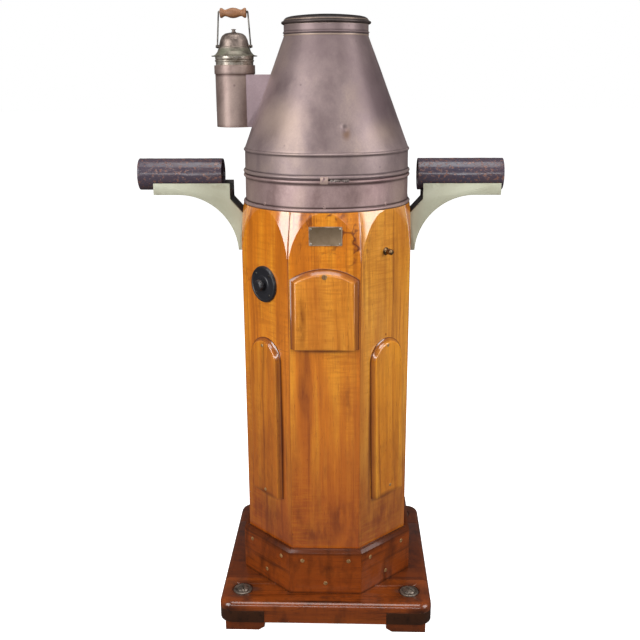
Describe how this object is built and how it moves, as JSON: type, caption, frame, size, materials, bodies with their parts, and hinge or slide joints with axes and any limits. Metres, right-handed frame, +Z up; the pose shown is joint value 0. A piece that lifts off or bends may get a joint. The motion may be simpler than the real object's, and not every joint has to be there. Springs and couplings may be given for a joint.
{
  "type": "binnacle compass",
  "caption": "Octagonal varnished wooden ship's binnacle with a copper hood, side oil lamp, gimballed compass and soft-iron corrector tubes.",
  "frame": {"origin": "on the floor, at the centre of the four deck-bolt holes", "axes": "+Z up, -Y the front with the access door, +X to the right seen from the front"},
  "size_m": [0.828, 0.496, 1.3977],
  "materials": {
    "varnished_wood": "golden amber varnish, glossy",
    "base_wood": "dark reddish brown varnish, satin",
    "bearer_wood": "dark stained, worn",
    "inner_wood": "plain oiled wood",
    "grip_wood": "turned light brown wood",
    "oxidised_copper": "brown oxidised copper sheet, dull",
    "lid_copper": "blackened copper",
    "verdigris_copper": "dark copper with green patina",
    "brass": "old brass, dull",
    "grey_paint": "pale grey-green paint, chipped",
    "black_paint": "black paint",
    "tube_paint": "black paint with rust-red patches",
    "black_bakelite": "polished black bakelite",
    "clear_glass": "clear",
    "dark_steel": "dulled steel",
    "red_paint": "red paint",
    "card_paper": "matt white card",
    "wick_cotton": "woven cotton"
  },
  "bodies": {
    "binnacle": {"skids": "base_wood", "bearers": "bearer_wood", "base_board": "base_wood", "deck_bolt_caps": "dark_steel", "skirting_boards": "base_wood", "skirting_screws": "brass", "front_stave": "varnished_wood", "front_left_stave": "varnished_wood", "front_right_stave": "varnished_wood", "left_stave": "varnished_wood", "right_stave": "varnished_wood", "rear_staves": "varnished_wood", "nameplate": "brass", "small_screws": "brass", "left_side_panel": "varnished_wood", "right_side_panel": "varnished_wood", "switch_base": "black_bakelite", "brass_peg": "brass", "seat_ring": "oxidised_copper", "seat_ring_screws": "brass", "index_lug": "oxidised_copper", "bracket_cheeks": "grey_paint", "bracket_webs": "black_paint", "bracket_bolts": "dark_steel", "gimbal_bearings": "brass", "compass_shelf": "inner_wood", "lower_shelf": "inner_wood", "guide_rods": "brass", "heeling_tube": "brass"},
    "left_corrector": {"left_corrector_tube": "tube_paint", "left_tube_clamp": "brass"},
    "right_corrector": {"right_corrector_tube": "tube_paint", "right_tube_clamp": "brass"},
    "door": {"access_door": "varnished_wood", "door_lock": "brass"},
    "hood": {"hood_shell": "oxidised_copper", "hood_collar": "oxidised_copper", "lamp_pocket": "oxidised_copper"},
    "lid": {"top_lid": "lid_copper"},
    "lamp": {"lamp_body": "oxidised_copper", "lamp_window": "clear_glass", "oil_fount": "brass", "burner": "brass", "lamp_cap": "verdigris_copper"},
    "bail": {"bail_wire": "dark_steel"},
    "grip": {"bail_grip": "grip_wood"},
    "winder": {"wick_winder": "brass"},
    "wick_strip": {"wick": "wick_cotton"},
    "gimbal": {"gimbal_ring": "brass"},
    "bowl": {"compass_bowl": "brass", "verge_ring": "brass", "bowl_glass": "clear_glass"},
    "card": {"compass_card": "card_paper", "card_magnets": "dark_steel"},
    "knob": {"switch_knob": "black_bakelite"},
    "carriage": {"magnet_carriage": "inner_wood", "corrector_magnets": "red_paint"},
    "bucket": {"heeling_bucket": "brass", "heeling_magnets": "red_paint"}
  },
  "joints": [
    {"name": "hood_lift", "type": "slide", "parent": "binnacle", "child": "hood", "axis": [0, 0, 1], "range_m": [0, 0.1]},
    {"name": "lid_lift", "type": "slide", "parent": "hood", "child": "lid", "axis": [0, 0, 1], "range_m": [0, 0.06]},
    {"name": "lamp_lift", "type": "slide", "parent": "hood", "child": "lamp", "axis": [0, 0, 1], "range_m": [0, 0.155]},
    {"name": "bail_swing", "type": "hinge", "parent": "lamp", "child": "bail", "pos_m": [-0.2035, 0, 1.317], "axis": [1, 0, 0], "range_deg": [-100, 100]},
    {"name": "grip_spin", "type": "hinge", "parent": "bail", "child": "grip", "pos_m": [-0.2035, 0, 1.3867], "axis": [1, 0, 0], "continuous": true},
    {"name": "winder_turn", "type": "hinge", "parent": "lamp", "child": "winder", "pos_m": [-0.2035, -0.0056, 1.1838], "axis": [1, 0, 0], "range_deg": [-60, 60]},
    {"name": "wick_feed", "type": "slide", "parent": "lamp", "child": "wick_strip", "axis": [0, 0, 1], "range_m": [-0.0049, 0.0049]},
    {"name": "gimbal_roll", "type": "hinge", "parent": "binnacle", "child": "gimbal", "pos_m": [0, 0, 1.02], "axis": [1, 0, 0], "range_deg": [-25, 25]},
    {"name": "bowl_roll", "type": "hinge", "parent": "gimbal", "child": "bowl", "pos_m": [0, 0, 1.02], "axis": [0, 1, 0], "range_deg": [-25, 25]},
    {"name": "card_turn", "type": "hinge", "parent": "bowl", "child": "card", "pos_m": [0, 0, 1.008], "axis": [0, 0, 1], "continuous": true},
    {"name": "switch_turn", "type": "hinge", "parent": "binnacle", "child": "knob", "pos_m": [-0.13435, -0.13435, 0.81], "axis": [-0.7071, -0.7071, 0], "range_deg": [0, 90]},
    {"name": "door_pull", "type": "slide", "parent": "binnacle", "child": "door", "axis": [0, -1, 0], "range_m": [0, 0.08]},
    {"name": "left_tube_slide", "type": "slide", "parent": "binnacle", "child": "left_corrector", "axis": [1, 0, 0], "range_m": [-0.025, 0.04]},
    {"name": "right_tube_slide", "type": "slide", "parent": "binnacle", "child": "right_corrector", "axis": [1, 0, 0], "range_m": [-0.012, 0.054]},
    {"name": "carriage_slide", "type": "slide", "parent": "binnacle", "child": "carriage", "axis": [0, 0, 1], "range_m": [-0.12, 0.06]},
    {"name": "bucket_slide", "type": "slide", "parent": "binnacle", "child": "bucket", "axis": [0, 0, 1], "range_m": [-0.05, 0.03]}
  ],
  "couplings": [
    {"joint": "wick_feed", "follows": "winder_turn", "m_per_rad": 0.0046}
  ]
}
